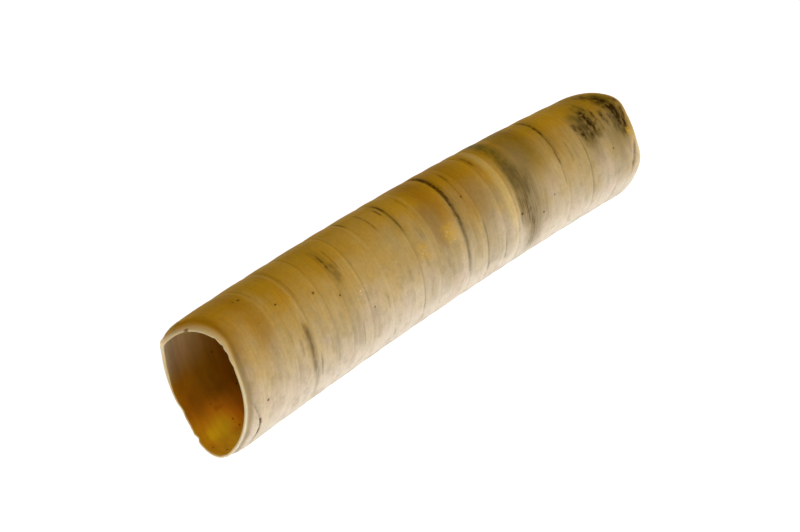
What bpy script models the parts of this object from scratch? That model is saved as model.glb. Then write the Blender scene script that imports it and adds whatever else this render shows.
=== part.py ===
"""Tusk shell: a short, gently bowed tube of shell, open at both ends and lying on its side.

The tube runs along X, its wide front opening at -X and its narrow back opening at +X. It is turned as a
straight blank first. Each point of the blank then has a growth share (0 at the front rim, 1 at the back
rim), an angle round the tube (0 towards +Y, a quarter turn upwards) and a depth in the wall (0 on the
inside, 1 on the outside), and shell_point moves it to its place on the real shell. Lengths named _MM are
in millimetres.
"""

import math

import bmesh
import bpy

MM = 0.001

# Driving dimensions of the tube
LENGTH_MM = 24.0
FRONT_RADIUS_MM = 2.88
BACK_RADIUS_MM = 2.53
BELLY_MM = 0.05
BOW_MM = 0.38
BOW_SKEW_MM = 0.04

# The wall is thin at the front rim, where the shell grew, and thick at the worn back end
FRONT_WALL_MM = 0.10
MIDDLE_WALL_MM = 0.32
BACK_WALL_MM = 0.42
FRONT_WALL_REACH = 0.15
BACK_WALL_REACH = 0.70

# The lowest ridges are worn to one flat strip, this deep, on which the shell rests
WORN_FLAT_MM = 0.055

# Growth lines lie aslant: they lead towards the back at one side of the tube
SLANT_MM = 0.34
SLANT_TOWARDS = math.radians(45)

# How far each rim stands back (+X) from a square cut, at an angle in degrees
FRONT_RIM_MM = (
    (0, -0.40),
    (20, -0.58),
    (40, -0.78),
    (60, -0.24),
    (80, 0.06),
    (103, 0.17),
    (124, -0.02),
    (164, -0.40),
    (190, -0.74),
    (216, -1.09),
    (246, -1.05),
    (273, -0.83),
    (291, -0.56),
    (318, -0.42),
)
BACK_RIM_MM = (
    (0, -0.38),
    (40, -0.44),
    (73, 0.10),
    (98, 0.38),
    (123, 0.10),
    (150, -0.10),
    (172, -0.11),
    (205, -0.45),
    (260, -0.32),
    (310, -0.26),
)
FRONT_REACH = 0.22
BACK_REACH = 0.18

# Growth rings: share of the growth, depth of the groove in mm, and the angle at which it is deepest
RINGS = (
    (0.100, 0.020, 80),
    (0.157, 0.030, 110),
    (0.205, 0.015, 300),
    (0.290, 0.030, 140),
    (0.343, 0.020, 60),
    (0.420, 0.020, 90),
    (0.460, 0.020, 250),
    (0.537, 0.055, 90),
    (0.583, 0.020, 165),
    (0.630, 0.020, 60),
    (0.665, 0.030, 150),
    (0.720, 0.020, 280),
    (0.803, 0.030, 95),
    (0.865, 0.025, 150),
    (0.930, 0.020, 220),
)
RING_HALF_WIDTH = 0.005
SHALLOWEST = 0.15
SWELL_MM = 0.02

# The front lip: its edge curls inwards and leans inwards, most of all at the far upper side
LIP_CURL_MM = 0.24
LEAST_CURL = 0.32
LIP_REACH = 0.040
LIP_LEAN_MM = 0.06
LIP_LEAN_REACH = 0.09
LIP_TOWARDS = math.radians(80)
BEAD_GROOVE_SHARE = 0.018
BEAD_GROOVE_HALF_WIDTH = 0.006
BEAD_GROOVE_MM = 0.03

# The worn back end: a slight narrowing, and a crease where a chip meets the rim
BACK_ROUND_MM = 0.14
BACK_ROUND_REACH = 0.030
BACK_CREASE_MM = 0.09
BACK_CREASE_SHARE = 0.974
BACK_CREASE_HALF_WIDTH = 0.010
BACK_CREASE_ANGLE = math.radians(166)
BACK_CREASE_SPREAD = math.radians(26)

# Fineness of the faceted solid
SIDES = 52
OUTER_GAP = 0.034
INNER_STATIONS = 18
RIM_POINTS = 3

# The straight blank, whose radius is a measure of depth in the wall
BLANK_RADIUS = 2.0
BLANK_WALL = 1.0

# The material's look
SHELL_COLOUR = (0.52, 0.39, 0.21, 1)
SHELL_ROUGHNESS = 0.42
SHARP_ANGLE = math.radians(50)


def smooth_step(value):
    """0 up to 0, 1 from 1 on, and a smooth rise between."""
    value = min(max(value, 0.0), 1.0)
    return value * value * (3 - 2 * value)


def facing(angle, centre):
    """1 at the centre angle, 0 at the opposite one."""
    return 0.5 + 0.5 * math.cos(angle - centre)


def towards(angle, centre, spread):
    """1 at the centre angle, falling smoothly to 0 at the spread to either side."""
    away = abs((angle - centre + math.pi) % math.tau - math.pi)
    return 1 - smooth_step(away / spread)


def rim_offset(points, angle):
    """The rim's offset in mm at an angle: a smooth closed curve through its points."""
    degrees = math.degrees(angle) % 360
    count = len(points)
    index = max(place for place in range(count) if points[place][0] <= degrees)
    near = [points[(index + step) % count] for step in (-1, 0, 1, 2)]
    gap = (near[2][0] - near[1][0]) % 360
    before = (near[1][0] - near[0][0]) % 360
    after = (near[3][0] - near[2][0]) % 360
    leave = (near[2][1] - near[0][1]) / (gap + before) * gap
    arrive = (near[3][1] - near[1][1]) / (gap + after) * gap
    part = (degrees - near[1][0]) / gap
    rise = smooth_step(part)
    bend = part * (1 - part)
    return near[1][1] + (near[2][1] - near[1][1]) * rise + bend * ((1 - part) * leave - part * arrive)


def notch(share, centre, half_width):
    """1 at the bottom of a V-shaped groove, 0 at its edges and beyond."""
    return max(0.0, 1 - abs(share - centre) / half_width)


def ring_relief(share, angle):
    """How far the outer face stands out (+) or is cut in (-), in mm: a swell between grooves."""
    ends = [0.0] + [ring[0] for ring in RINGS] + [1.0]
    low = max(end for end in ends[:-1] if end <= share)
    high = ends[ends.index(low) + 1]
    relief = SWELL_MM * math.sin(math.pi * (share - low) / (high - low))
    for centre, depth, deepest in RINGS:
        strength = SHALLOWEST + (1 - SHALLOWEST) * facing(angle, math.radians(deepest))
        relief -= depth * strength * notch(share, centre, RING_HALF_WIDTH)
    return relief


def lip_relief(share, angle):
    """The change of radius at the front lip, in mm."""
    inwards = facing(angle, LIP_TOWARDS)
    curl = LIP_CURL_MM * (LEAST_CURL + (1 - LEAST_CURL) * inwards)
    lean = LIP_LEAN_MM * inwards * (1 - smooth_step(share / LIP_LEAN_REACH))
    return -curl * (1 - smooth_step(share / LIP_REACH)) ** 2 - lean


def bead_groove(share, angle):
    """The depth of the groove behind the lip's bead, in mm: it fades where the lip curls least."""
    line = notch(share, BEAD_GROOVE_SHARE, BEAD_GROOVE_HALF_WIDTH)
    return BEAD_GROOVE_MM * facing(angle, LIP_TOWARDS) * line


def back_relief(share, angle):
    """The change of radius at the worn back end, in mm."""
    near_back = max(0.0, 1 - (1 - share) / BACK_ROUND_REACH)
    crease = BACK_CREASE_MM * towards(angle, BACK_CREASE_ANGLE, BACK_CREASE_SPREAD)
    crease *= notch(share, BACK_CREASE_SHARE, BACK_CREASE_HALF_WIDTH)
    return -BACK_ROUND_MM * near_back**2 - crease


def tube_radius(share):
    """Outer radius before relief, in mm: a straight taper with a slight belly."""
    belly = BELLY_MM * math.sin(math.pi * min(max(share, 0.0), 1.0))
    return FRONT_RADIUS_MM + (BACK_RADIUS_MM - FRONT_RADIUS_MM) * share + belly


def wall_thickness(share):
    """Wall thickness in mm."""
    front = (FRONT_WALL_MM - MIDDLE_WALL_MM) * (1 - smooth_step(share / FRONT_WALL_REACH))
    back = (BACK_WALL_MM - MIDDLE_WALL_MM) * smooth_step((share - 1 + BACK_WALL_REACH) / BACK_WALL_REACH)
    return MIDDLE_WALL_MM + front + back


def axis_place(along):
    """Sideways place and height of the tube's axis in mm, at a distance along X from the middle."""
    part = 2 * along / LENGTH_MM
    side = (BOW_MM + BOW_SKEW_MM * part) * (1 - part * part)
    return side, tube_radius(along / LENGTH_MM + 0.5) - WORN_FLAT_MM


def shell_point(share, angle, depth):
    """Where a point of the blank lies on the shell, in mm."""
    front = 1 - smooth_step(share / FRONT_REACH)
    back = smooth_step((share - 1 + BACK_REACH) / BACK_REACH)
    slant = SLANT_MM * math.cos(angle - SLANT_TOWARDS)
    along = (share - 0.5) * LENGTH_MM + (1 - front - back) * slant
    along += front * rim_offset(FRONT_RIM_MM, angle) + back * rim_offset(BACK_RIM_MM, angle)
    outer_relief = ring_relief(share, angle) - bead_groove(share, angle)
    radius = tube_radius(share) + lip_relief(share, angle) + back_relief(share, angle)
    radius += depth * outer_relief - (1 - depth) * wall_thickness(share)
    side, height = axis_place(along)
    place = (along, side + radius * math.cos(angle), height + radius * math.sin(angle))
    return place[0], place[1], max(place[2], 0.0)


def rounded_rim(thickness, at_back):
    """The rim's points as (share, depth), from the outside round to the inside."""
    half = thickness / 2 / LENGTH_MM
    points = []
    for step in range(RIM_POINTS + 2):
        turn = math.pi * step / (RIM_POINTS + 1)
        inset = half * (1 - math.sin(turn))
        points.append((1 - inset if at_back else inset, 0.5 + 0.5 * math.cos(turn)))
    return points


def outer_shares():
    """Growth shares of the outer face's stations: three for each groove, and even fill between."""
    grooves = [(ring[0], RING_HALF_WIDTH) for ring in RINGS]
    grooves.append((BEAD_GROOVE_SHARE, BEAD_GROOVE_HALF_WIDTH))
    grooves.append((BACK_CREASE_SHARE, BACK_CREASE_HALF_WIDTH))
    kept = [1 - BACK_WALL_MM / 2 / LENGTH_MM]
    for centre, half_width in grooves:
        kept += [centre - half_width, centre, centre + half_width]
    kept.sort()
    shares = []
    for low, high in zip(kept, kept[1:]):
        steps = max(1, math.ceil((high - low) / OUTER_GAP))
        shares += [low + (high - low) * step / steps for step in range(steps)]
    return shares


def wall_outline():
    """The wall's outline as (share, depth): out along the outside, round the back rim and home inside."""
    back = rounded_rim(BACK_WALL_MM, True)
    front = rounded_rim(FRONT_WALL_MM, False)
    outside = [(share, 1.0) for share in outer_shares()]
    inside = []
    for step in range(1, INNER_STATIONS):
        inside.append((back[-1][0] + (front[-1][0] - back[-1][0]) * step / INNER_STATIONS, 0.0))
    return outside + back + inside + front[::-1]


def turned_blank():
    """The straight blank: the wall's outline turned about X into a closed ring of wall."""
    blank = bmesh.new()
    corners = []
    for share, depth in wall_outline():
        corners.append(blank.verts.new((share, BLANK_RADIUS + BLANK_WALL * depth, 0)))
    edges = [blank.edges.new(pair) for pair in zip(corners, corners[1:] + corners[:1])]
    bmesh.ops.spin(
        blank,
        geom=corners + edges,
        cent=(0, 0, 0),
        axis=(1, 0, 0),
        angle=math.tau,
        steps=SIDES,
        use_merge=True,
        use_duplicate=False,
    )
    bmesh.ops.recalc_face_normals(blank, faces=blank.faces[:])
    return blank


def shape_blank(blank):
    """Moves every point of the blank to its place on the shell, centred on its box and on the floor."""
    for vertex in blank.verts:
        angle = math.atan2(vertex.co.z, vertex.co.y)
        radius = math.hypot(vertex.co.y, vertex.co.z)
        depth = (radius - BLANK_RADIUS) / BLANK_WALL
        vertex.co = [MM * value for value in shell_point(vertex.co.x, angle, depth)]
    low = [min(vertex.co[axis] for vertex in blank.verts) for axis in range(3)]
    high = [max(vertex.co[axis] for vertex in blank.verts) for axis in range(3)]
    middle = (-(low[0] + high[0]) / 2, -(low[1] + high[1]) / 2, -low[2])
    bmesh.ops.translate(blank, verts=blank.verts[:], vec=middle)


def shell_material():
    """Pale, slightly glossy shell."""
    material = bpy.data.materials.new("shell")
    material.use_nodes = True
    shader = material.node_tree.nodes["Principled BSDF"]
    shader.inputs["Base Color"].default_value = SHELL_COLOUR
    shader.inputs["Roughness"].default_value = SHELL_ROUGHNESS
    shader.inputs["Metallic"].default_value = 0.0
    return material


def build_shell():
    """The whole object: one piece of shell."""
    blank = turned_blank()
    shape_blank(blank)
    mesh = bpy.data.meshes.new("shell")
    blank.to_mesh(mesh)
    blank.free()
    mesh.shade_smooth()
    mesh.set_sharp_from_angle(angle=SHARP_ANGLE)
    mesh.materials.append(shell_material())
    shell = bpy.data.objects.new("shell", mesh)
    bpy.context.scene.collection.objects.link(shell)


for old in list(bpy.data.objects):
    bpy.data.objects.remove(old)
build_shell()
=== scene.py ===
"""Tusk shell: the looks. One finely shaped and coloured piece stands in for the plain solid of the shell.

Each point of the shell has a growth share (0 at the front rim, 1 at the back rim), an angle round the
tube (0 towards +Y, a quarter turn upwards) and a depth in the wall (0 on the inside, 1 on the outside).
Marks are placed by share and angle. Lengths named _MM are in millimetres, and angles are in degrees
unless a name or a comment says otherwise.
"""

import math

import bmesh
import bpy
import numpy as np
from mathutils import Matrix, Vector


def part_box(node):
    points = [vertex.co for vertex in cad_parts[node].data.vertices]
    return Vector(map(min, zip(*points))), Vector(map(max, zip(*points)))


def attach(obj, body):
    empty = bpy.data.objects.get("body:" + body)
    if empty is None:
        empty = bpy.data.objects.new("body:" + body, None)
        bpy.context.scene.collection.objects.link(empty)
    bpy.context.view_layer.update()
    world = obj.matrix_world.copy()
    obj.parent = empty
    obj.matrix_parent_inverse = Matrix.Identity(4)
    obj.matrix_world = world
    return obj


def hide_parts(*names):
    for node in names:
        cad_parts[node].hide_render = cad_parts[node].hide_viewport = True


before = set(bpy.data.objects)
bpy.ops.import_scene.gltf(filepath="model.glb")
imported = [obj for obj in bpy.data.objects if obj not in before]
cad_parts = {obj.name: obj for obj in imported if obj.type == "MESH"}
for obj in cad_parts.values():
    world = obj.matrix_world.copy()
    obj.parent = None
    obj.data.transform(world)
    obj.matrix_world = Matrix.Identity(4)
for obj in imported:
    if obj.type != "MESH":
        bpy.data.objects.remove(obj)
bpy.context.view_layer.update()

MM = 0.001

# Driving dimensions of the tube, as in the solid
LENGTH_MM = 24.0
FRONT_RADIUS_MM = 2.88
BACK_RADIUS_MM = 2.53
BELLY_MM = 0.05
BOW_MM = 0.38
BOW_SKEW_MM = 0.04
FRONT_WALL_MM = 0.10
MIDDLE_WALL_MM = 0.32
BACK_WALL_MM = 0.42
FRONT_WALL_REACH = 0.15
BACK_WALL_REACH = 0.70
WORN_FLAT_MM = 0.055
SLANT_MM = 0.34
SLANT_TOWARDS = 45

# How far each rim stands back (+X) from a square cut, at an angle
FRONT_RIM_MM = (
    (0, -0.40),
    (20, -0.58),
    (40, -0.78),
    (60, -0.24),
    (80, 0.06),
    (103, 0.17),
    (124, -0.02),
    (164, -0.40),
    (190, -0.74),
    (216, -1.09),
    (246, -1.05),
    (273, -0.83),
    (291, -0.56),
    (318, -0.42),
)
BACK_RIM_MM = (
    (0, -0.38),
    (40, -0.44),
    (73, 0.10),
    (98, 0.38),
    (123, 0.10),
    (150, -0.10),
    (172, -0.11),
    (205, -0.45),
    (260, -0.32),
    (310, -0.26),
)
FRONT_REACH = 0.22
BACK_REACH = 0.18

# Growth rings: share of the growth, depth of the groove in mm, and the angle at which it is deepest
RINGS = (
    (0.100, 0.012, 80),
    (0.157, 0.022, 110),
    (0.205, 0.012, 300),
    (0.290, 0.022, 140),
    (0.343, 0.012, 60),
    (0.420, 0.014, 90),
    (0.460, 0.014, 250),
    (0.537, 0.050, 90),
    (0.583, 0.012, 165),
    (0.630, 0.012, 60),
    (0.665, 0.022, 150),
    (0.720, 0.014, 280),
    (0.803, 0.024, 95),
    (0.865, 0.020, 150),
    (0.930, 0.014, 220),
)
RING_HALF_WIDTH = 0.005
SHALLOWEST = 0.10
SWELL_MM = 0.02

# The front lip and the worn back end
LIP_CURL_MM = 0.24
LEAST_CURL = 0.32
LIP_REACH = 0.040
LIP_LEAN_MM = 0.06
LIP_LEAN_REACH = 0.09
LIP_TOWARDS = 80
LIP_VALLEY_MM = 0.035
LIP_VALLEY_HALF_WIDTH = 0.008
LIP_SWELL_MM = 0.14
LIP_SWELL_AT = 8
LIP_SWELL_SPREAD = 50
LIP_SWELL_REACH = 0.05
LIP_CRACK_MM = 0.06
LIP_CRACK_HALF_WIDTH = 0.0032
BACK_ROUND_MM = 0.14
BACK_ROUND_REACH = 0.030
BACK_CREASE_MM = 0.06
BACK_CREASE_HALF_WIDTH = 0.006

# How many degrees a slanting line takes to fade at each end
LINE_END = 12

# Fineness of the shown piece
SIDES = 132
OUTER_STATIONS = 636
INNER_STATIONS = 88
RIM_POINTS = 7
INNER_DEPTH = 0.02
BLANK_RADIUS = 2.0
BLANK_WALL = 1.0

# Fine growth lines: how many, how deep, and how far round the tube each one runs
FINE_LINES = 130
FINE_LINE_MM = (0.001, 0.005)
FINE_LINE_HALF_WIDTH = (0.0018, 0.0040)
FINE_LINE_SPREAD = (35, 150)
SEED = 12

# Small chips in the front rim: angle, half width in degrees, depth in mm
RIM_CHIPS = (
    (62, 5, 0.05),
    (96, 4, 0.05),
    (106, 3, 0.04),
    (116, 4, 0.05),
    (128, 4, 0.03),
    (228, 6, 0.05),
    (276, 5, 0.10),
    (305, 9, 0.05),
)
CHIP_REACH = 0.008

# Slanting lines as (angle, share): the crack at the front rim, the crease at the back, the lip's valley
LIP_CRACK = (
    (158, 0.008),
    (168, 0.018),
    (180, 0.029),
    (185, 0.0330),
    (187.5, 0.0315),
    (190, 0.0345),
    (192.5, 0.0325),
    (195, 0.0340),
    (199, 0.0320),
    (232, 0.034),
)
BACK_CREASE = (
    (143, 0.988),
    (150, 0.985),
    (158, 0.979),
    (166, 0.973),
    (174, 0.969),
    (183, 0.966),
)
LIP_VALLEY = (
    (30, 0.022),
    (60, 0.020),
    (75, 0.018),
    (95, 0.013),
    (115, 0.009),
    (140, 0.008),
    (200, 0.010),
    (235, 0.012),
)

# Marks on the outside: share, half width in share, strength, angle, and spread to either side of it
DARK_LINES = (
    (0.541, 0.0062, 1.00, 84, 40),
    (0.541, 0.0120, 0.32, 84, 46),
    (0.538, 0.0058, 0.90, 120, 22),
    (0.535, 0.0062, 0.85, 150, 40),
    (0.148, 0.0050, 0.60, 143, 16),
    (0.151, 0.0090, 0.75, 155, 28),
    (0.153, 0.0050, 0.60, 166, 22),
    (0.155, 0.0060, 0.60, 180, 24),
    (0.166, 0.0028, 0.70, 171, 13),
    (0.163, 0.0026, 0.35, 80, 40),
    (0.250, 0.0030, 0.55, 98, 16),
    (0.267, 0.0028, 0.60, 97, 16),
    (0.268, 0.0028, 0.45, 170, 16),
    (0.333, 0.0030, 0.55, 157, 8),
    (0.345, 0.0030, 0.80, 64, 14),
    (0.348, 0.0040, 0.50, 193, 6),
    (0.381, 0.0034, 0.55, 82, 22),
    (0.413, 0.0036, 0.90, 80, 8),
    (0.424, 0.0030, 1.00, 76, 13),
    (0.423, 0.0026, 0.80, 92, 24),
    (0.420, 0.0026, 0.40, 175, 28),
    (0.420, 0.0030, 0.50, 184, 6),
    (0.462, 0.0028, 0.40, 86, 12),
    (0.571, 0.0036, 0.70, 84, 10),
    (0.568, 0.0026, 0.45, 98, 24),
    (0.585, 0.0028, 0.45, 162, 26),
    (0.587, 0.0034, 0.55, 187, 8),
    (0.638, 0.0046, 0.65, 81, 13),
    (0.632, 0.0026, 0.60, 180, 16),
    (0.675, 0.0030, 0.60, 152, 18),
    (0.742, 0.0028, 0.35, 160, 18),
    (0.806, 0.0036, 0.70, 76, 22),
    (0.804, 0.0040, 0.95, 90, 10),
    (0.802, 0.0034, 0.60, 108, 22),
    (0.800, 0.0044, 0.80, 126, 11),
    (0.799, 0.0030, 0.50, 144, 14),
    (0.830, 0.0040, 0.30, 126, 14),
    (0.866, 0.0022, 0.45, 152, 40),
)
STAINS = (
    (0.258, 0.0100, 0.55, 110, 12),
    (0.249, 0.0060, 0.45, 97, 12),
    (0.870, 0.0065, 0.80, 109, 9),
    (0.878, 0.0090, 1.00, 117, 11),
    (0.888, 0.0070, 0.50, 112, 15),
    (0.896, 0.0080, 0.80, 113, 21),
    (0.904, 0.0095, 1.40, 104, 15),
    (0.907, 0.0080, 1.00, 117, 15),
    (0.915, 0.0060, 0.50, 120, 12),
    (0.921, 0.0070, 1.00, 105, 12),
    (0.926, 0.0050, 0.50, 117, 10),
    (0.937, 0.0065, 0.90, 109, 9),
    (0.942, 0.0050, 0.50, 118, 9),
    (0.952, 0.0110, 0.60, 100, 22),
    (0.963, 0.0110, 1.40, 98, 22),
    (0.968, 0.0100, 1.50, 115, 20),
    (0.975, 0.0100, 1.30, 124, 12),
    (0.969, 0.0100, 0.80, 133, 11),
    (0.954, 0.0150, 0.80, 82, 20),
    (0.960, 0.0180, 0.55, 110, 28),
    (0.986, 0.0090, 0.90, 108, 22),
    (0.917, 0.0070, 0.50, 86, 15),
)
SMOKE = (
    (0.681, 0.0100, 1.20, 136, 44),
    (0.694, 0.0260, 1.30, 140, 44),
    (0.704, 0.0320, 1.15, 160, 56),
    (0.718, 0.0150, 0.90, 140, 30),
    (0.760, 0.0350, 0.25, 142, 30),
    (0.150, 0.0130, 0.50, 152, 24),
    (0.950, 0.0240, 0.35, 146, 24),
    (0.745, 0.0600, 0.25, 130, 60),
    (0.893, 0.0200, 0.50, 126, 30),
    (0.966, 0.0200, 0.50, 126, 34),
    (0.246, 0.0090, 0.40, 165, 12),
    (0.131, 0.0060, 0.50, 148, 9),
    (0.193, 0.0060, 0.45, 161, 9),
    (0.180, 0.0160, 0.22, 146, 18),
    (0.250, 0.0200, 0.22, 145, 26),
    (0.205, 0.0120, 0.35, 168, 18),
    (0.226, 0.0090, 0.30, 150, 14),
    (0.258, 0.0130, 0.40, 164, 20),
    (0.302, 0.0100, 0.30, 166, 16),
    (0.120, 0.0100, 0.25, 162, 16),
    (0.075, 0.0080, 0.25, 152, 10),
    (0.510, 0.0140, 0.30, 160, 22),
    (0.560, 0.0120, 0.30, 152, 22),
    (0.485, 0.0050, 0.40, 158, 7),
    (0.437, 0.0050, 0.35, 144, 7),
    (0.394, 0.0060, 0.45, 148, 7),
    (0.361, 0.0050, 0.35, 162, 5),
    (0.450, 0.0090, 0.40, 121, 9),
    (0.577, 0.0070, 0.45, 133, 9),
    (0.926, 0.0060, 0.30, 162, 10),
)
PALE_LINES = (
    (0.157, 0.0030, 0.60, 100, 50),
    (0.295, 0.0034, 0.60, 105, 60),
    (0.470, 0.0034, 0.45, 100, 60),
    (0.656, 0.0160, 0.80, 118, 70),
    (0.868, 0.0026, 0.45, 110, 60),
    (0.105, 0.0160, 0.35, 120, 60),
    (0.040, 0.0200, 0.30, 150, 50),
    (0.222, 0.0120, 0.20, 130, 60),
    (0.350, 0.1300, 0.40, 98, 34),
    (0.190, 0.0700, 0.15, 95, 30),
)

# Broad tints on the upper side: the same five numbers
DEEP_AMBER = (
    (0.076, 0.0340, 0.60, 94, 50),
    (0.150, 0.0120, 0.45, 80, 34),
    (0.250, 0.0300, 0.15, 78, 30),
    (0.505, 0.0420, 1.00, 90, 54),
    (0.486, 0.0280, 0.90, 120, 28),
    (0.600, 0.0220, 0.30, 118, 32),
    (0.585, 0.0700, 0.70, 88, 66),
    (0.757, 0.0260, 0.55, 80, 36),
    (0.640, 0.0200, 0.45, 80, 30),
    (0.720, 0.0300, 0.40, 96, 40),
    (0.915, 0.0160, 0.30, 80, 20),
)
OLIVE = (
    (0.692, 0.0280, 1.20, 88, 60),
    (0.745, 0.0600, 0.70, 80, 60),
    (0.802, 0.0300, 0.45, 88, 44),
    (0.955, 0.0900, 0.60, 96, 60),
    (0.887, 0.0300, 1.30, 112, 28),
    (0.908, 0.0400, 1.00, 105, 32),
    (0.968, 0.0330, 1.60, 106, 40),
    (0.540, 0.0160, 0.35, 110, 60),
    (0.420, 0.0140, 0.35, 84, 40),
    (0.252, 0.0160, 0.45, 100, 30),
)
DULL = (
    (0.485, 0.0400, 1.00, 142, 52),
    (0.445, 0.0300, 0.60, 150, 50),
    (0.600, 0.0450, 0.95, 146, 56),
    (0.640, 0.0300, 0.60, 152, 50),
    (0.555, 0.0500, 0.55, 140, 50),
    (0.720, 0.0400, 1.00, 134, 64),
    (0.860, 0.1200, 0.70, 138, 56),
    (0.945, 0.0600, 1.00, 143, 50),
    (0.400, 0.0600, 0.45, 126, 40),
    (0.250, 0.1000, 0.22, 158, 36),
    (0.080, 0.0400, 0.40, 142, 32),
)
FLECKS = (
    (0.506, 0.0240, 1.00, 134, 10),
    (0.440, 0.0180, 0.60, 137, 10),
    (0.577, 0.0080, 0.40, 133, 8),
    (0.978, 0.0090, 0.80, 136, 6),
)
# Painted highlights: small pale glint specks painted into the colour, which are also smoother and raised
PAINTED_GLINTS = (
    (0.280, 0.0200, 1.00, 138, 8),
    (0.238, 0.0050, 0.80, 137, 5),
    (0.370, 0.0100, 0.90, 136, 7),
    (0.646, 0.0030, 1.00, 140, 4),
    (0.506, 0.0200, 0.70, 136, 9),
    (0.440, 0.0150, 0.60, 138, 8),
    (0.978, 0.0080, 1.00, 136, 5),
)

# Pinholes: share, angle, and radius in mm
PINHOLES = (
    (-0.0012, 63, 0.11),
    (0.122, 105.5, 0.050),
    (0.196, 115.0, 0.055),
    (0.240, 129.0, 0.045),
    (0.045, 168.5, 0.050),
    (0.084, 80.5, 0.060),
    (0.075, 79.0, 0.035),
    (0.677, 156.0, 0.060),
    (0.731, 166.5, 0.050),
    (0.763, 156.0, 0.035),
    (0.567, 112.5, 0.050),
    (0.300, 154.0, 0.035),
    (0.930, 145.0, 0.040),
)

# Tints that follow the form: a window is (angle, spread to either side), a reach is (first share, length)
UPPER_SIDE = 60
LOW_SIDE_FROM = 17
LOW_SIDE_OVER = 120
LIP_BAND_FROM = 0.001
LIP_BAND = 0.006
LIP_BAND_EXTRA = 0.009
LIP_BAND_WINDOW = (75, 60)
# The painted highlight along the edge of the front rim
RIM_EDGE_REACH = (0.0005, 0.002)
BACK_RIM_REACH = (0.984, 0.008)
VALLEY_LEAST = 0.75
VALLEY_WINDOW = (85, 70)
# Painted shade in the crack near the lip and in the crease at the back rim
CRACK_STRENGTH = 1.6
CRACK_WINDOW = (190, 12)
CRACK_TAIL_STRENGTH = 0.50
CRACK_TAIL_WINDOW = (200, 80)
CREASE_STRENGTH = 0.6
# Painted light in the bore: greyer on the open side near the front and a golden glow on the floor; painted
# shade deeper in
OPEN_SIDE_REACH = (0, 0.13)
OPEN_SIDE_WINDOW = (25, 62)
GOLD_FLOOR_LEAST = 0.4
GOLD_FLOOR_RISE = (0, 0.05)
GOLD_FLOOR_FALL = (0.055, 0.07)
GOLD_FLOOR_WINDOW = (250, 57)
DEEP_INSIDE_REACH = (0.04, 0.12)

# Noise that breaks up the colours. Streaks: name, fineness, and roundness (1 is as long as it is wide)
OUTER_STREAKS = (
    ("fine", 9.0, 0.16),
    ("short", 6.0, 0.50),
    ("broad", 1.4, 0.12),
    ("mottle", 2.4, 0.65),
    ("lines", 16.0, 0.06),
)
OUTER_CLOUDS = (
    ("cloud", 0.9),
    ("grain", 9.0),
)
BORE_STREAKS = (4.0, 0.12)
BORE_CLOUDS = 1.6
STREAK_DETAIL = 4.0
STREAK_ROUGHNESS = 0.6
CLOUD_DETAIL = 3.0

# Specks as (crowding, reach, rarity): golden flecks, faint specks between the pinholes, specks in the bore
GOLD_SPECKS = (14.0, 0.42, 0.25)
FAINT_SPECKS = (1.6, 0.05, 0.75)
BORE_SPECKS = (
    (1.2, 0.08, 0.5),
    (2.1, 0.10, 0.5),
)

# How far each noise moves the tints up and down the side, and how far it lightens and darkens them
SIDE_SWINGS = (
    ("cloud", 0.060),
    ("broad", 0.035),
)
TONE_SWINGS = (
    ("fine", 0.040),
    ("short", 0.035),
    ("grain", 0.045),
    ("mottle", 0.035),
)
FINE_LINE_TONE = 0.93

# How strongly each mark tints what lies under it
WEIGHTS = {
    "deep_amber": 0.80,
    "dull": 0.48,
    "pale_lines": 0.45,
    "valley": 0.95,
    "lip": 0.85,
    "rim_edge_highlight": 0.80,
    "back_rim": 0.50,
    "flecks": 0.30,
}
STAIN_WEIGHT = 0.95
HOLE_WEIGHT = 0.80
FAINT_SPECK_WEIGHT = 0.6
BORE_SPECK_WEIGHT = 0.7

# Colours, as linear red, green and blue
# The amber top is partly painted shade, and the creams lower down are partly painted light
AMBER = (0.62, 0.325, 0.012, 1)
TAN = (0.60, 0.415, 0.155, 1)
CREAM = (0.66, 0.565, 0.44, 1)
# Painted light from the glowing floor, low on the side
FLOOR_LIT_CREAM = (0.73, 0.635, 0.53, 1)
# Painted shade underneath
UNDERSIDE_SHADE_GREY = (0.53, 0.465, 0.39, 1)
BLUSH = (0.62, 0.46, 0.35, 1)
DEEP_AMBER_BROWN = (0.44, 0.20, 0.004, 1)
OLIVE_BROWN = (0.22, 0.14, 0.008, 1)
DULL_TAN = (0.34, 0.26, 0.14, 1)
SMOKE_GREY = (0.165, 0.115, 0.045, 1)
LINE_BROWN = (0.095, 0.036, 0.001, 1)
LINE_GREY = (0.19, 0.145, 0.08, 1)
STAIN_BROWN = (0.036, 0.0125, 0.0002, 1)
PALE_LINE = (0.76, 0.60, 0.27, 1)
LINE_GOLD = (0.50, 0.26, 0.006, 1)
# Painted shade in the valley behind the lip, low on the side
VALLEY_SHADE_GREY = (0.37, 0.285, 0.15, 1)
# The lip's own pale colour brightened with painted light, also used as the painted highlight along the
# rim's edge
LIT_LIP_GOLD = (1.0, 0.69, 0.42, 1)
LIP_ROSE = (0.88, 0.72, 0.58, 1)
RIM_TAN = (0.46, 0.31, 0.14, 1)
RIM_CREAM = (0.72, 0.58, 0.40, 1)
GOLD = (0.80, 0.46, 0.01, 1)
# Painted highlight colour of the glint specks
PAINTED_GLINT_WHITE = (0.95, 0.80, 0.52, 1)
BORE_AMBER = (0.50, 0.315, 0.016, 1)
# Painted light in the bore: lit grey on the open side and a golden glow on the floor
BORE_LIT_GREY = (0.62, 0.50, 0.31, 1)
BORE_GLOW_GOLD = (0.98, 0.665, 0.05, 1)
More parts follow.
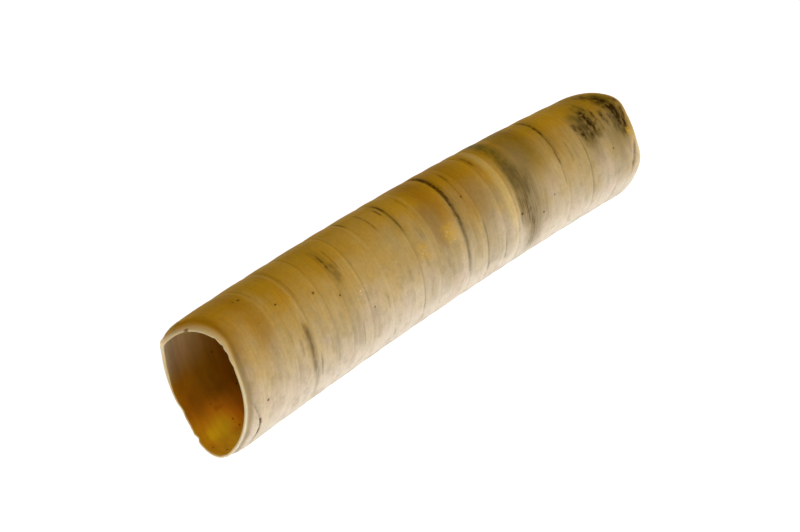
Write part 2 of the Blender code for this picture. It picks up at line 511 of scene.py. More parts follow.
# Painted shade deeper in the bore
BORE_DEEP_SHADE = (0.52, 0.21, 0.006, 1)
BORE_SPECK = (0.16, 0.05, 0.004, 1)
FLOOR_WHITE = (0.25, 0.25, 0.25, 1)
LAMP_WHITE = (1.0, 0.95, 0.80)
SKY_WHITE = (1.0, 0.95, 0.76, 1)
SHEEN_TINT = (1.0, 0.86, 0.62, 1)

# Tints that follow the side downwards: where each starts and is full, and its colour. The cream is partly
# the shell's own colour and partly painted light, the pale cream is painted light from the glowing floor,
# and the grey underneath is painted shade
SIDE_TINTS = (
    (0.36, 0.90, CREAM),
    # Painted light from the glowing floor
    (0.80, 1.00, FLOOR_LIT_CREAM),
    # Painted shade underneath
    (1.00, 1.36, UNDERSIDE_SHADE_GREY),
)

# Tints of the ends: mark, where down the side its colour starts and ends changing, and both colours
END_TINTS = (
    # The valley: its gold line high on the side is the shell's own colour, its grey lower down is painted
    # shade in the groove
    ("valley", 0.25, 0.55, LINE_GOLD, VALLEY_SHADE_GREY),
    # The lip's gold is partly painted light
    ("lip", 0.30, 0.80, LIT_LIP_GOLD, LIP_ROSE),
    ("back_rim", 0.40, 0.65, RIM_TAN, RIM_CREAM),
)

# How light goes into the shell, red furthest, and how uneven and shiny the surface is
TRANSLUCENCY = 0.6
TRANSLUCENT_REACH = (1.0, 0.68, 0.32)
TRANSLUCENT_SCALE = 0.0004
SHEEN = 0.03
BUMP_STRENGTH = 0.35
BUMP_HEIGHT = 0.00001
HOLE_BUMP = 2.0
GRAIN_BUMP = 0.2
GLINT_SMOOTHNESS = 0.3

# The pale sky, the soft lamp and the glowing floor: distances in metres
SKY_STRENGTH = 0.25
LAMP_DIRECTION = (0.54, -0.64, 0.55)
LAMP_DISTANCE = 0.3
LAMP_SIZE = 0.2
LAMP_ENERGY = 0.5
FLOOR_RADIUS = 0.6
FLOOR_SIDES = 96
FLOOR_GAP = 0.00002
FLOOR_GLOW = 0.98
FLOOR_ROUGHNESS = 0.9

# The camera, fitted to the tube's outline in the photo
CAMERA_AZIMUTH = -44.9
CAMERA_ELEVATION = 39.7
CAMERA_DISTANCE_MM = 96.4
CAMERA_LENS = 100
CAMERA_SHIFT = (-0.0264, -0.0193)
CAMERA_CLIP = (0.005, 5.0)


def smooth_step(value):
    """0 up to 0, 1 from 1 on, and a smooth rise between."""
    value = np.clip(value, 0.0, 1.0)
    return value * value * (3 - 2 * value)


def rises(share, start, reach):
    """0 up to the start, rising smoothly to 1 over the reach."""
    return smooth_step((share - start) / reach)


def fades(share, start, reach):
    """1 up to the start, falling smoothly to 0 over the reach."""
    return 1 - rises(share, start, reach)


def turned_away(degrees, centre):
    """How far an angle is from a centre angle, either way round."""
    return np.abs((degrees - centre + 180) % 360 - 180)


def facing(degrees, centre):
    """1 at the centre angle, 0 at the opposite one."""
    return 0.5 + 0.5 * np.cos(np.radians(degrees - centre))


def angle_window(degrees, centre, spread):
    """1 near the centre angle, falling smoothly to 0 at the spread to either side."""
    return 1 - smooth_step(2 * turned_away(degrees, centre) / spread - 1)


def rim_offset(points, degrees):
    """The rim's offset in mm at each angle: a smooth closed curve through its points."""
    places = np.array([point[0] for point in points], float)
    values = np.array([point[1] for point in points], float)
    gaps = (np.roll(places, -1) - places) % 360
    slopes = (np.roll(values, -1) - np.roll(values, 1)) / (gaps + np.roll(gaps, 1))
    here = np.searchsorted(places, degrees, side="right") - 1
    there = (here + 1) % len(points)
    part = ((degrees - places[here]) % 360) / gaps[here]
    leave = slopes[here] * gaps[here]
    arrive = slopes[there] * gaps[here]
    rise = (values[there] - values[here]) * smooth_step(part)
    return values[here] + rise + part * (1 - part) * ((1 - part) * leave - part * arrive)


def groove(share, centre, half_width):
    """1 at the bottom of a rounded groove, 0 at its edges and beyond."""
    return 1 - smooth_step(np.abs(share - centre) / half_width)


def ring_relief(share, degrees):
    """How far the outer face stands out (+) or is cut in (-), in mm: a swell between grooves."""
    ends = np.array([0.0] + [ring[0] for ring in RINGS] + [1.0])
    low = np.clip(np.searchsorted(ends, share, side="right") - 1, 0, len(ends) - 2)
    part = (share - ends[low]) / (ends[low + 1] - ends[low])
    relief = SWELL_MM * np.sin(np.pi * part)
    for centre, depth, deepest in RINGS:
        strength = SHALLOWEST + (1 - SHALLOWEST) * facing(degrees, deepest)
        relief = relief - depth * strength * groove(share, centre, RING_HALF_WIDTH)
    return relief


def fine_lines(share, degrees):
    """The fine growth lines, as (cut in mm, darkness)."""
    draw = np.random.default_rng(SEED)
    cut = np.zeros_like(share)
    dark = np.zeros_like(share)
    for _ in range(FINE_LINES):
        centre = draw.uniform(0.01, 0.99)
        depth = draw.uniform(*FINE_LINE_MM)
        half_width = draw.uniform(*FINE_LINE_HALF_WIDTH)
        angle = draw.uniform(0, 360)
        spread = draw.uniform(*FINE_LINE_SPREAD)
        line = groove(share, centre, half_width) * angle_window(degrees, angle, spread)
        cut += depth * line
        dark = np.maximum(dark, line * depth / FINE_LINE_MM[1])
    return cut, dark


def marks(rows, share, degrees):
    """The strength of the strongest mark at each point."""
    total = np.zeros_like(share)
    for centre, half_width, strength, angle, spread in rows:
        mark = strength * groove(share, centre, half_width) * angle_window(degrees, angle, spread)
        total = np.maximum(total, mark)
    return total


def tube_radius(share):
    """Outer radius before relief, in mm: a straight taper with a slight belly."""
    belly = BELLY_MM * np.sin(np.pi * np.clip(share, 0, 1))
    return FRONT_RADIUS_MM + (BACK_RADIUS_MM - FRONT_RADIUS_MM) * share + belly


def wall_thickness(share):
    """Wall thickness in mm."""
    front = (FRONT_WALL_MM - MIDDLE_WALL_MM) * fades(share, 0, FRONT_WALL_REACH)
    back = (BACK_WALL_MM - MIDDLE_WALL_MM) * smooth_step((share - 1 + BACK_WALL_REACH) / BACK_WALL_REACH)
    return MIDDLE_WALL_MM + front + back


def end_relief(share, degrees):
    """The change of radius at the front lip and at the worn back end, in mm."""
    inwards = facing(degrees, LIP_TOWARDS)
    curl = LIP_CURL_MM * (LEAST_CURL + (1 - LEAST_CURL) * inwards) * fades(share, 0, LIP_REACH) ** 2
    lean = LIP_LEAN_MM * inwards * fades(share, 0, LIP_LEAN_REACH)
    near_back = np.clip(1 - (1 - share) / BACK_ROUND_REACH, 0, 1)
    crease = BACK_CREASE_MM * slanting_line(BACK_CREASE, BACK_CREASE_HALF_WIDTH, share, degrees)
    return -curl - lean - BACK_ROUND_MM * near_back**2 - crease


def lip_swell(share, degrees):
    """How much thicker the wall is where the rim turns its corner, in mm."""
    corner = angle_window(degrees, LIP_SWELL_AT, LIP_SWELL_SPREAD)
    return LIP_SWELL_MM * corner * fades(share, 0, LIP_SWELL_REACH)


def slanting_line(path, half_width, share, degrees):
    """1 along the middle of a line that slants round the tube, fading towards its ends."""
    angles = [point[0] for point in path]
    centre = np.interp(degrees, angles, [point[1] for point in path])
    ends = smooth_step((degrees - angles[0]) / LINE_END) * smooth_step((angles[-1] - degrees) / LINE_END)
    return ends * groove(share, centre, half_width)


def shell_points(share, degrees, depth):
    """Where the points of the blank lie on the shell, in mm."""
    angle = np.radians(degrees)
    front = fades(share, 0, FRONT_REACH)
    back = smooth_step((share - 1 + BACK_REACH) / BACK_REACH)
    slant = SLANT_MM * np.cos(np.radians(degrees - SLANT_TOWARDS))
    along = (share - 0.5) * LENGTH_MM + (1 - front - back) * slant
    along += front * rim_offset(FRONT_RIM_MM, degrees) + back * rim_offset(BACK_RIM_MM, degrees)
    for angle_of_chip, half_width, cut in RIM_CHIPS:
        chip = 1 - smooth_step(turned_away(degrees, angle_of_chip) / half_width)
        along += cut * chip * fades(share, 0, CHIP_REACH)
    outer = ring_relief(share, degrees) - fine_lines(share, degrees)[0]
    outer -= LIP_VALLEY_MM * slanting_line(LIP_VALLEY, LIP_VALLEY_HALF_WIDTH, share, degrees)
    outer -= LIP_CRACK_MM * slanting_line(LIP_CRACK, LIP_CRACK_HALF_WIDTH, share, degrees)
    radius = tube_radius(share) + end_relief(share, degrees)
    radius += depth * outer - (1 - depth) * (wall_thickness(share) + lip_swell(share, degrees))
    part = 2 * along / LENGTH_MM
    side = (BOW_MM + BOW_SKEW_MM * part) * (1 - part * part)
    height = tube_radius(along / LENGTH_MM + 0.5) - WORN_FLAT_MM
    points = np.stack([along, side + radius * np.cos(angle), height + radius * np.sin(angle)], axis=1)
    points[:, 2] = np.maximum(points[:, 2], 0)
    return points


def rounded_rim(thickness, at_back):
    """The rim's points as (share, depth), from the outside round to the inside."""
    half = thickness / 2 / LENGTH_MM
    points = []
    for step in range(RIM_POINTS + 2):
        turn = math.pi * step / (RIM_POINTS + 1)
        inset = half * (1 - math.sin(turn))
        points.append((1 - inset if at_back else inset, 0.5 + 0.5 * math.cos(turn)))
    return points


def stations(start, end, count, depth):
    """Evenly spaced points (share, depth) between two shares, without those two themselves."""
    return [(start + (end - start) * step / count, depth) for step in range(1, count)]


def wall_outline():
    """The wall's outline as (share, depth): out along the outside, round the back rim and home inside."""
    front = rounded_rim(FRONT_WALL_MM, False)
    back = rounded_rim(BACK_WALL_MM, True)
    outside = stations(front[0][0], back[0][0], OUTER_STATIONS, 1.0)
    inside = stations(back[-1][0], front[-1][0], INNER_STATIONS, 0.0)
    return outside + back + inside + front[::-1]


def turned_blank():
    """The straight blank: the wall's outline turned about X into a closed ring of wall."""
    blank = bmesh.new()
    corners = []
    for share, depth in wall_outline():
        corners.append(blank.verts.new((share, BLANK_RADIUS + BLANK_WALL * depth, 0)))
    edges = [blank.edges.new(pair) for pair in zip(corners, corners[1:] + corners[:1])]
    bmesh.ops.spin(
        blank,
        geom=corners + edges,
        cent=(0, 0, 0),
        axis=(1, 0, 0),
        angle=math.tau,
        steps=SIDES,
        use_merge=True,
        use_duplicate=False,
    )
    bmesh.ops.recalc_face_normals(blank, faces=blank.faces[:])
    mesh = bpy.data.meshes.new("tusk_shell")
    blank.to_mesh(mesh)
    blank.free()
    return mesh


def set_attribute(mesh, name, values):
    """Stores a number, or a vector, for each point of the mesh."""
    if values.ndim == 1:
        mesh.attributes.new(name, "FLOAT", "POINT").data.foreach_set("value", values.astype(np.float32))
    else:
        data = mesh.attributes.new(name, "FLOAT_VECTOR", "POINT").data
        data.foreach_set("vector", values.astype(np.float32).ravel())


def growth_place(share, degrees):
    """The growth coordinate in mm, on which the materials' patterns lie without a seam."""
    angle = np.radians(degrees)
    radius = (FRONT_RADIUS_MM + BACK_RADIUS_MM) / 2
    return np.stack([share * LENGTH_MM, radius * np.cos(angle), radius * np.sin(angle)], axis=-1)


def crack_shade_strength(share, degrees):
    """How much painted shade darkens the crack near the lip and the crease at the back rim."""
    near = CRACK_STRENGTH * angle_window(degrees, *CRACK_WINDOW)
    tail = CRACK_TAIL_STRENGTH * angle_window(degrees, *CRACK_TAIL_WINDOW)
    crack = np.maximum(near, tail) * slanting_line(LIP_CRACK, LIP_CRACK_HALF_WIDTH, share, degrees)
    crease = CREASE_STRENGTH * slanting_line(BACK_CREASE, BACK_CREASE_HALF_WIDTH, share, degrees)
    return np.maximum(crack, crease)


def valley_strength(share, degrees):
    """How strongly the valley behind the front lip is tinted: its gold line on the upper side is the
    shell's own colour, its grey lower down is painted shade in the groove.
    """
    strength = VALLEY_LEAST + (1 - VALLEY_LEAST) * angle_window(degrees, *VALLEY_WINDOW)
    return slanting_line(LIP_VALLEY, LIP_VALLEY_HALF_WIDTH, share, degrees) * strength


def gold_floor(share, degrees):
    """How strongly the bore's floor near the front is painted with a golden glow of the light that comes
    through the wall.
    """
    rise = GOLD_FLOOR_LEAST + (1 - GOLD_FLOOR_LEAST) * rises(share, *GOLD_FLOOR_RISE)
    return angle_window(degrees, *GOLD_FLOOR_WINDOW) * rise * fades(share, *GOLD_FLOOR_FALL)


def store_marks(mesh, share, degrees):
    """Stores the marks' strengths and the growth coordinate, which the materials read."""
    set_attribute(mesh, "growth", growth_place(share, degrees))
    for name, rows in (
        ("dark_lines", DARK_LINES),
        ("stains", STAINS),
        ("smoke", SMOKE),
        ("pale_lines", PALE_LINES),
        ("deep_amber", DEEP_AMBER),
        ("olive", OLIVE),
        ("dull", DULL),
        ("flecks", FLECKS),
        ("painted_glints", PAINTED_GLINTS),
    ):
        set_attribute(mesh, name, marks(rows, share, degrees))
    lip_band = LIP_BAND + LIP_BAND_EXTRA * angle_window(degrees, *LIP_BAND_WINDOW)
    open_side = fades(share, *OPEN_SIDE_REACH) * angle_window(degrees, *OPEN_SIDE_WINDOW)
    for name, values in (
        ("fine_lines", fine_lines(share, degrees)[1]),
        ("low_side", (turned_away(degrees, UPPER_SIDE) - LOW_SIDE_FROM) / LOW_SIDE_OVER),
        ("lip", fades(share, LIP_BAND_FROM, lip_band)),
        ("rim_edge_highlight", fades(share, *RIM_EDGE_REACH)),
        ("back_rim", rises(share, *BACK_RIM_REACH)),
        ("valley", valley_strength(share, degrees)),
        ("crack_shade", crack_shade_strength(share, degrees)),
        ("open_side", open_side),
        ("gold_floor", gold_floor(share, degrees)),
        ("deep_inside", rises(share, *DEEP_INSIDE_REACH)),
    ):
        set_attribute(mesh, name, values)


def build_shell():
    """The shown shell. Returns the object and how far the tube's middle was moved to fit the frame."""
    mesh = turned_blank()
    flat = np.empty(len(mesh.vertices) * 3, np.float32)
    mesh.vertices.foreach_get("co", flat)
    blank = flat.reshape(-1, 3).astype(float)
    share = blank[:, 0]
    degrees = np.degrees(np.arctan2(blank[:, 2], blank[:, 1])) % 360
    depth = (np.hypot(blank[:, 1], blank[:, 2]) - BLANK_RADIUS) / BLANK_WALL
    points = shell_points(share, degrees, depth) * MM
    low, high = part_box("shell")
    shift = (np.array(low) + np.array(high)) / 2 - (points.min(axis=0) + points.max(axis=0)) / 2
    shift[2] = low[2] - points[:, 2].min()
    mesh.vertices.foreach_set("co", (points + shift).astype(np.float32).ravel())
    store_marks(mesh, share, degrees)
    mesh.materials.append(outer_material())
    mesh.materials.append(bore_material())
    mesh.polygons.foreach_set("material_index", inner_faces(mesh, depth))
    mesh.shade_smooth()
    mesh.update()
    shell = bpy.data.objects.new("tusk_shell", mesh)
    bpy.context.scene.collection.objects.link(shell)
    return shell, shift


def inner_faces(mesh, depth):
    """1 for each face on the inside of the wall, 0 for the others."""
    corners = np.empty(len(mesh.loops), np.int32)
    mesh.loops.foreach_get("vertex_index", corners)
    starts = np.empty(len(mesh.polygons), np.int32)
    mesh.polygons.foreach_get("loop_start", starts)
    return (np.maximum.reduceat(depth[corners], starts) < INNER_DEPTH).astype(np.int32)


def add_node(tree, kind, **settings):
    """A node with its settings, given by name."""
    node = tree.nodes.new(kind)
    for name, value in settings.items():
        setattr(node, name, value)
    return node


def feed(tree, socket, value):
    """Links an output to a socket, or sets the socket's own value."""
    if isinstance(value, bpy.types.NodeSocket):
        tree.links.new(value, socket)
    else:
        socket.default_value = value


def attribute(tree, name, output="Fac"):
    """An attribute of the mesh."""
    node = add_node(tree, "ShaderNodeAttribute", attribute_name=name)
    return node.outputs[output]


def mix(tree, share, first, second):
    """A blend of two colours."""
    node = add_node(tree, "ShaderNodeMix", data_type="RGBA")
    feed(tree, node.inputs[0], share)
    feed(tree, node.inputs[6], first)
    feed(tree, node.inputs[7], second)
    return node.outputs[2]


def calculate(tree, operation, first, second, clamp=False):
    """A sum of two numbers."""
    node = add_node(tree, "ShaderNodeMath", operation=operation, use_clamp=clamp)
    feed(tree, node.inputs[0], first)
    feed(tree, node.inputs[1], second)
    return node.outputs[0]


def spread_range(tree, value, low, high, new_low=0.0, new_high=1.0):
    """The value's range from low to high, stretched to a new range and held within it."""
    node = add_node(tree, "ShaderNodeMapRange", interpolation_type="SMOOTHSTEP")
    feed(tree, node.inputs[0], value)
    for place, number in enumerate((low, high, new_low, new_high)):
        node.inputs[place + 1].default_value = number
    return node.outputs[0]


def new_group(name, inputs, outputs):
    """An empty node group with named sockets. Returns the group, its input node and its output node."""
    group = bpy.data.node_groups.new(name, "ShaderNodeTree")
    for socket, kind, value in inputs:
        made = group.interface.new_socket(socket, in_out="INPUT", socket_type=kind)
        if value is not None:
            made.default_value = value
    for socket, kind in outputs:
        group.interface.new_socket(socket, in_out="OUTPUT", socket_type=kind)
    return group, group.nodes.new("NodeGroupInput"), group.nodes.new("NodeGroupOutput")


def streak_group():
    """Growth streaks: noise drawn out round the tube and short along it."""
    inputs = (
        ("Growth", "NodeSocketVector", None),
        ("Fineness", "NodeSocketFloat", 6.0),
        ("Roundness", "NodeSocketFloat", 0.1),
    )
    group, come_in, go_out = new_group("growth_streaks", inputs, (("Streak", "NodeSocketFloat"),))
    part = add_node(group, "ShaderNodeSeparateXYZ")
    feed(group, part.inputs[0], come_in.outputs["Growth"])
    stretched = add_node(group, "ShaderNodeCombineXYZ")
    feed(group, stretched.inputs[0], part.outputs[0])
    for place in (1, 2):
        drawn_out = calculate(group, "MULTIPLY", part.outputs[place], come_in.outputs["Roundness"])
        feed(group, stretched.inputs[place], drawn_out)
    noise = add_node(group, "ShaderNodeTexNoise", noise_dimensions="3D")
    feed(group, noise.inputs["Vector"], stretched.outputs[0])
    feed(group, noise.inputs["Scale"], come_in.outputs["Fineness"])
    noise.inputs["Detail"].default_value = STREAK_DETAIL
    noise.inputs["Roughness"].default_value = STREAK_ROUGHNESS
    feed(group, go_out.inputs["Streak"], noise.outputs[0])
    return group


def cloud_group():
    """Clouds: even noise of one size."""
    inputs = (("Growth", "NodeSocketVector", None), ("Fineness", "NodeSocketFloat", 1.0))
    group, come_in, go_out = new_group("clouds", inputs, (("Cloud", "NodeSocketFloat"),))
    noise = add_node(group, "ShaderNodeTexNoise", noise_dimensions="3D")
    feed(group, noise.inputs["Vector"], come_in.outputs["Growth"])
    feed(group, noise.inputs["Scale"], come_in.outputs["Fineness"])
    noise.inputs["Detail"].default_value = CLOUD_DETAIL
    feed(group, go_out.inputs["Cloud"], noise.outputs[0])
    return group


def speck_group():
    """Specks: small round dots, sparse and each of its own strength."""
    inputs = (
        ("Growth", "NodeSocketVector", None),
        ("Crowding", "NodeSocketFloat", 1.0),
        ("Reach", "NodeSocketFloat", 0.06),
        ("Rarity", "NodeSocketFloat", 0.8),
    )
    outputs = (("Speck", "NodeSocketFloat"), ("Chance", "NodeSocketFloat"))
    group, come_in, go_out = new_group("specks", inputs, outputs)
    cells = add_node(group, "ShaderNodeTexVoronoi", feature="F1")
    feed(group, cells.inputs["Vector"], come_in.outputs["Growth"])
    feed(group, cells.inputs["Scale"], come_in.outputs["Crowding"])
    split = add_node(group, "ShaderNodeSeparateColor")
    feed(group, split.inputs[0], cells.outputs["Color"])
    reach = calculate(group, "DIVIDE", cells.outputs["Distance"], come_in.outputs["Reach"])
    near = spread_range(group, reach, 0.6, 1.2, 1.0, 0.0)
    chosen = calculate(group, "GREATER_THAN", split.outputs[0], come_in.outputs["Rarity"])
    feed(group, go_out.inputs["Speck"], calculate(group, "MULTIPLY", near, chosen))
    feed(group, go_out.inputs["Chance"], split.outputs[1])
    return group


def pinhole_group():
    """One round pinhole: 1 within its radius, fading over a rim."""
    inputs = (
        ("Growth", "NodeSocketVector", None),
        ("Place", "NodeSocketVector", None),
        ("Radius", "NodeSocketFloat", 0.05),
    )
    group, come_in, go_out = new_group("pinhole", inputs, (("Hole", "NodeSocketFloat"),))
    away = add_node(group, "ShaderNodeVectorMath", operation="DISTANCE")
    feed(group, away.inputs[0], come_in.outputs["Growth"])
    feed(group, away.inputs[1], come_in.outputs["Place"])
    reach = calculate(group, "DIVIDE", away.outputs["Value"], come_in.outputs["Radius"])
    feed(group, go_out.inputs["Hole"], spread_range(group, reach, 0.5, 1.6, 1.0, 0.0))
    return group


def use_group(tree, group, **values):
    """A group placed in a tree, with its inputs fed by name. Returns its outputs."""
    node = add_node(tree, "ShaderNodeGroup", node_tree=group)
    for name, value in values.items():
        feed(tree, node.inputs[name], value)
    return node.outputs


def shade(tree, colour, value):
    """A colour made lighter or darker by a value near 1."""
    node = add_node(tree, "ShaderNodeMix", data_type="RGBA", blend_type="MULTIPLY")
    node.inputs[0].default_value = 1.0
    feed(tree, node.inputs[6], colour)
    feed(tree, node.inputs[7], value)
    return node.outputs[2]


def new_material(name):
    """A material with its Principled shader. Returns the material, its tree and the shader."""
    material = bpy.data.materials.new(name)
    material.use_nodes = True
    tree = material.node_tree
    return material, tree, tree.nodes["Principled BSDF"]


STREAKS = streak_group()
CLOUDS = cloud_group()
SPECKS = speck_group()
PINHOLE = pinhole_group()


def pinholes(tree, growth):
    """All the pinholes together."""
    total = None
    for share, degrees, radius in PINHOLES:
        place = tuple(float(value) for value in growth_place(np.array(share), np.array(degrees)))
        hole = use_group(tree, PINHOLE, Growth=growth, Place=place, Radius=radius)["Hole"]
        total = hole if total is None else calculate(tree, "MAXIMUM", total, hole)
    return total


def times(tree, first, second):
    """Two values multiplied and held within 0 to 1."""
    return calculate(tree, "MULTIPLY", first, second, clamp=True)


def weighted(tree, name):
    """A mark of the mesh at its weight."""
    return times(tree, attribute(tree, name), WEIGHTS[name])


def patchy(tree, name, noise):
    """A mark of the mesh, broken into patches."""
    return times(tree, attribute(tree, name), spread_range(tree, noise["short"], 0.34, 0.64, 0.15, 1.15))


def strewn(tree, growth, crowding, reach, rarity):
    """Specks of one kind. Returns the outputs Speck and Chance."""
    return use_group(tree, SPECKS, Growth=growth, Crowding=crowding, Reach=reach, Rarity=rarity)


def set_translucency(shader):
    """Light goes a little way into the shell, and the surface shines a little."""
    shader.inputs["Subsurface Weight"].default_value = TRANSLUCENCY
    shader.inputs["Subsurface Radius"].default_value = TRANSLUCENT_REACH
    shader.inputs["Subsurface Scale"].default_value = TRANSLUCENT_SCALE
    shader.inputs["Specular IOR Level"].default_value = SHEEN
    shader.inputs["Specular Tint"].default_value = SHEEN_TINT


def outer_noise(tree, growth):
    """The noise that breaks up the outside, by name."""
    noise = {}
    for name, fineness, roundness in OUTER_STREAKS:
        streaks = use_group(tree, STREAKS, Growth=growth, Fineness=fineness, Roundness=roundness)
        noise[name] = streaks["Streak"]
    for name, fineness in OUTER_CLOUDS:
        noise[name] = use_group(tree, CLOUDS, Growth=growth, Fineness=fineness)["Cloud"]
    return noise


def uneven_side(tree, noise):
    """How far down the side a point lies, made uneven: 0 near the top, 1 and more underneath."""
    side = attribute(tree, "low_side")
    for name, swing in SIDE_SWINGS:
        side = calculate(tree, "ADD", side, spread_range(tree, noise[name], 0.3, 0.7, -swing, swing))
    return side


def ground_colour(tree, side, noise):
    """Amber above, cream lower down and greyer underneath, with a faint blush on the side. This is partly
    the shell's own colour and partly painted light and shade: painted shade darkens the amber top, painted
    light from the glowing floor pales the cream low on the side, and painted shade greys the underside.
    """
    colour = mix(tree, spread_range(tree, side, 0.04, 0.50), AMBER, TAN)
    for start, full, tint in SIDE_TINTS:
        colour = mix(tree, spread_range(tree, side, start, full), colour, tint)
    cloudy = spread_range(tree, noise["cloud"], 0.45, 0.7, 0.0, 0.35)
    blush = times(tree, spread_range(tree, side, 0.35, 0.7), cloudy)
    return mix(tree, blush, colour, BLUSH)


def with_broad_tints(tree, colour, side, noise):
    """Deeper, duller and paler stretches, and a little mottling low on the side."""
    colour = mix(tree, weighted(tree, "deep_amber"), colour, DEEP_AMBER_BROWN)
    uneven = spread_range(tree, noise["short"], 0.34, 0.62, 0.55, 0.95)
    colour = mix(tree, times(tree, attribute(tree, "olive"), uneven), colour, OLIVE_BROWN)
    colour = mix(tree, weighted(tree, "dull"), colour, DULL_TAN)
    spots = spread_range(tree, noise["mottle"], 0.50, 0.36, 0.0, 0.20)
    mottled = times(tree, spread_range(tree, side, 0.25, 0.60), spots)
    colour = mix(tree, mottled, colour, DULL_TAN)
    return mix(tree, weighted(tree, "pale_lines"), colour, PALE_LINE)


def with_tones(tree, colour, noise):
    """Small changes of lightness, and the slightly darker fine growth lines."""
    for name, swing in TONE_SWINGS:
        colour = shade(tree, colour, spread_range(tree, noise[name], 0.25, 0.75, 1 - swing, 1 + swing))
    darker = spread_range(tree, attribute(tree, "fine_lines"), 0.0, 1.0, 1.0, FINE_LINE_TONE)
    return shade(tree, colour, darker)


def with_dark_marks(tree, colour, side, noise):
    """Short dashes, smoky bands, dark growth lines and stains."""
    line_colour = mix(tree, spread_range(tree, side, 0.25, 0.75), LINE_BROWN, LINE_GREY)
    in_places = spread_range(tree, noise["cloud"], 0.46, 0.62)
    dashes = times(tree, spread_range(tree, noise["short"], 0.68, 0.80, 0.0, 0.5), in_places)
    colour = mix(tree, dashes, colour, line_colour)
    streaky = spread_range(tree, noise["lines"], 0.36, 0.62, 0.60, 0.95)
    streaky = times(tree, streaky, spread_range(tree, noise["mottle"], 0.32, 0.58, 0.55, 0.90))
    colour = mix(tree, times(tree, attribute(tree, "smoke"), streaky), colour, SMOKE_GREY)
    uneven = spread_range(tree, noise["short"], 0.34, 0.56, 0.45, 1.0)
    colour = mix(tree, times(tree, attribute(tree, "dark_lines"), uneven), colour, line_colour)
    stain = times(tree, patchy(tree, "stains", noise), STAIN_WEIGHT)
    return mix(tree, stain, colour, STAIN_BROWN)


def with_ends(tree, colour, side, noise):
    """The valley behind the front lip, the lip and its edge, the back rim, and the crack and crease. The
    valley's grey and the crack's brown are painted shade, the lip's gold is partly the lip's own pale
    colour and partly painted light, and the bright edge of the lip is a painted highlight.
    """
    for name, start, full, upper, lower in END_TINTS:
        tint = mix(tree, spread_range(tree, side, start, full), upper, lower)
        colour = mix(tree, weighted(tree, name), colour, tint)
    # Painted highlight along the front rim's edge
    colour = mix(tree, weighted(tree, "rim_edge_highlight"), colour, LIT_LIP_GOLD)
    # Painted shade in the crack and the crease
    return mix(tree, patchy(tree, "crack_shade", noise), colour, LINE_BROWN)


def with_flecks(tree, colour, growth):
    """Golden flecks and small pale highlights painted into the colour. Returns the colour and the mask of
    these painted highlights.
    """
    fleck = strewn(tree, growth, *GOLD_SPECKS)
    bright = times(tree, fleck["Speck"], spread_range(tree, fleck["Chance"], 0.80, 0.82))
    painted_glints = times(tree, attribute(tree, "painted_glints"), bright)
    colour = mix(tree, weighted(tree, "flecks"), colour, GOLD)
    colour = mix(tree, times(tree, attribute(tree, "flecks"), fleck["Speck"]), colour, GOLD)
    return mix(tree, painted_glints, colour, PAINTED_GLINT_WHITE), painted_glints


def dark_holes(tree, growth):
    """The pinholes, with fainter specks strewn between them."""
    faint = times(tree, strewn(tree, growth, *FAINT_SPECKS)["Speck"], FAINT_SPECK_WEIGHT)
    return calculate(tree, "MAXIMUM", pinholes(tree, growth), faint)


def bumpy_surface(tree, noise, holes, painted_glints):
    """A slightly uneven surface, sunk at the holes and raised at the painted highlight specks."""
    grain = calculate(tree, "MULTIPLY", noise["grain"], GRAIN_BUMP)
    dips = calculate(tree, "MULTIPLY", holes, HOLE_BUMP)
    height = calculate(tree, "ADD", noise["fine"], grain)
    height = calculate(tree, "SUBTRACT", height, dips)
    height = calculate(tree, "ADD", height, painted_glints)
    bump = add_node(tree, "ShaderNodeBump")
    bump.inputs["Strength"].default_value = BUMP_STRENGTH
    bump.inputs["Distance"].default_value = BUMP_HEIGHT
    feed(tree, bump.inputs["Height"], height)
    return bump.outputs[0]


def outer_material():
    """The outside: amber above and cream below, partly the shell's own colour and partly painted shade and
    light, with growth lines, smoky bands, stains and painted highlight specks.
    """
    material, tree, shader = new_material("shell_outside")
    growth = attribute(tree, "growth", "Vector")
    noise = outer_noise(tree, growth)
    side = uneven_side(tree, noise)
    colour = ground_colour(tree, side, noise)
    colour = with_broad_tints(tree, colour, side, noise)
    colour = with_tones(tree, colour, noise)
    colour = with_dark_marks(tree, colour, side, noise)
    colour = with_ends(tree, colour, side, noise)
    colour, painted_glints = with_flecks(tree, colour, growth)
    holes = dark_holes(tree, growth)
    colour = mix(tree, times(tree, holes, HOLE_WEIGHT), colour, LINE_BROWN)
    feed(tree, shader.inputs["Base Color"], colour)
    rough = spread_range(tree, noise["fine"], 0.3, 0.7, 0.46, 0.58)
    rough = calculate(tree, "SUBTRACT", rough, times(tree, painted_glints, GLINT_SMOOTHNESS))
    feed(tree, shader.inputs["Roughness"], rough)
    feed(tree, shader.inputs["Normal"], bumpy_surface(tree, noise, holes, painted_glints))
    set_translucency(shader)
    return material


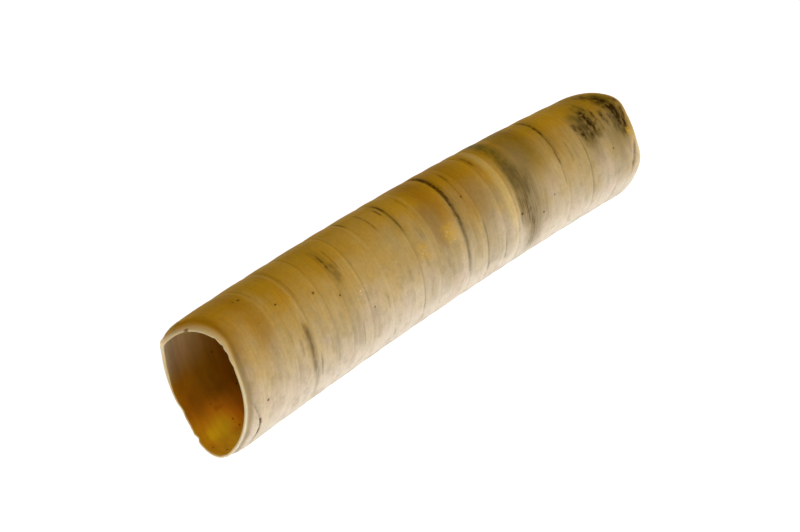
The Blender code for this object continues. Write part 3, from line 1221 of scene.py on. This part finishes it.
def bore_material():
    """The inside: smooth amber, greyer where the open front lets light in and golden on the floor near the
    front where light comes through the wall, both painted light, and redder deeper in, painted shade.
    """
    material, tree, shader = new_material("shell_inside")
    growth = attribute(tree, "growth", "Vector")
    fineness, roundness = BORE_STREAKS
    fine = use_group(tree, STREAKS, Growth=growth, Fineness=fineness, Roundness=roundness)["Streak"]
    cloud = use_group(tree, CLOUDS, Growth=growth, Fineness=BORE_CLOUDS)["Cloud"]
    colour = mix(tree, attribute(tree, "deep_inside"), BORE_AMBER, BORE_DEEP_SHADE)
    colour = mix(tree, attribute(tree, "gold_floor"), colour, BORE_GLOW_GOLD)
    colour = mix(tree, attribute(tree, "open_side"), colour, BORE_LIT_GREY)
    colour = shade(tree, colour, spread_range(tree, fine, 0.3, 0.7, 1.08, 0.92))
    colour = mix(tree, spread_range(tree, cloud, 0.55, 0.8, 0.0, 0.5), colour, DEEP_AMBER_BROWN)
    for kind in BORE_SPECKS:
        speck = times(tree, strewn(tree, growth, *kind)["Speck"], BORE_SPECK_WEIGHT)
        colour = mix(tree, speck, colour, BORE_SPECK)
    feed(tree, shader.inputs["Base Color"], colour)
    feed(tree, shader.inputs["Roughness"], spread_range(tree, fine, 0.3, 0.7, 0.34, 0.46))
    set_translucency(shader)
    return material


def add_floor():
    """A plain pale floor that glows a little, as a light table does."""
    disc = bmesh.new()
    bmesh.ops.create_circle(disc, cap_ends=True, segments=FLOOR_SIDES, radius=FLOOR_RADIUS)
    bmesh.ops.translate(disc, verts=disc.verts[:], vec=(0, 0, -FLOOR_GAP))
    mesh = bpy.data.meshes.new("floor")
    disc.to_mesh(mesh)
    disc.free()
    material, _, shader = new_material("pale_floor")
    shader.inputs["Base Color"].default_value = FLOOR_WHITE
    shader.inputs["Roughness"].default_value = FLOOR_ROUGHNESS
    shader.inputs["Emission Color"].default_value = (1, 1, 1, 1)
    shader.inputs["Emission Strength"].default_value = FLOOR_GLOW
    mesh.materials.append(material)
    floor = bpy.data.objects.new("floor", mesh)
    bpy.context.scene.collection.objects.link(floor)


def add_light():
    """Plain soft light: an even pale sky and one large soft lamp at the side."""
    world = bpy.data.worlds.new("pale_sky")
    world.use_nodes = True
    background = world.node_tree.nodes["Background"]
    background.inputs["Color"].default_value = SKY_WHITE
    background.inputs["Strength"].default_value = SKY_STRENGTH
    bpy.context.scene.world = world
    lamp = bpy.data.lights.new("soft_lamp", "AREA")
    lamp.shape = "DISK"
    lamp.size = LAMP_SIZE
    lamp.energy = LAMP_ENERGY
    lamp.color = LAMP_WHITE
    holder = bpy.data.objects.new("soft_lamp", lamp)
    direction = Vector(LAMP_DIRECTION).normalized()
    holder.location = direction * LAMP_DISTANCE
    holder.rotation_mode = "QUATERNION"
    holder.rotation_quaternion = direction.to_track_quat("Z", "Y")
    bpy.context.scene.collection.objects.link(holder)


def add_camera(shift):
    """The camera at the photo's angle, looking at the middle of the tube."""
    azimuth = math.radians(CAMERA_AZIMUTH)
    elevation = math.radians(CAMERA_ELEVATION)
    back = Vector((
        math.sin(azimuth) * math.cos(elevation),
        -math.cos(azimuth) * math.cos(elevation),
        math.sin(elevation),
    ))
    target = Vector(shift) + Vector((0, 0, (FRONT_RADIUS_MM - WORN_FLAT_MM) * MM))
    data = bpy.data.cameras.new("camera")
    data.lens = CAMERA_LENS
    data.shift_x, data.shift_y = CAMERA_SHIFT
    data.clip_start, data.clip_end = CAMERA_CLIP
    camera = bpy.data.objects.new("camera", data)
    camera.location = target + back * CAMERA_DISTANCE_MM * MM
    camera.rotation_mode = "QUATERNION"
    camera.rotation_quaternion = back.to_track_quat("Z", "Y")
    bpy.context.scene.collection.objects.link(camera)
    bpy.context.scene.camera = camera


shell, shift = build_shell()
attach(shell, "root")
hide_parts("shell")
add_floor()
add_light()
add_camera(shift)
bpy.context.scene.view_settings.view_transform = "Standard"
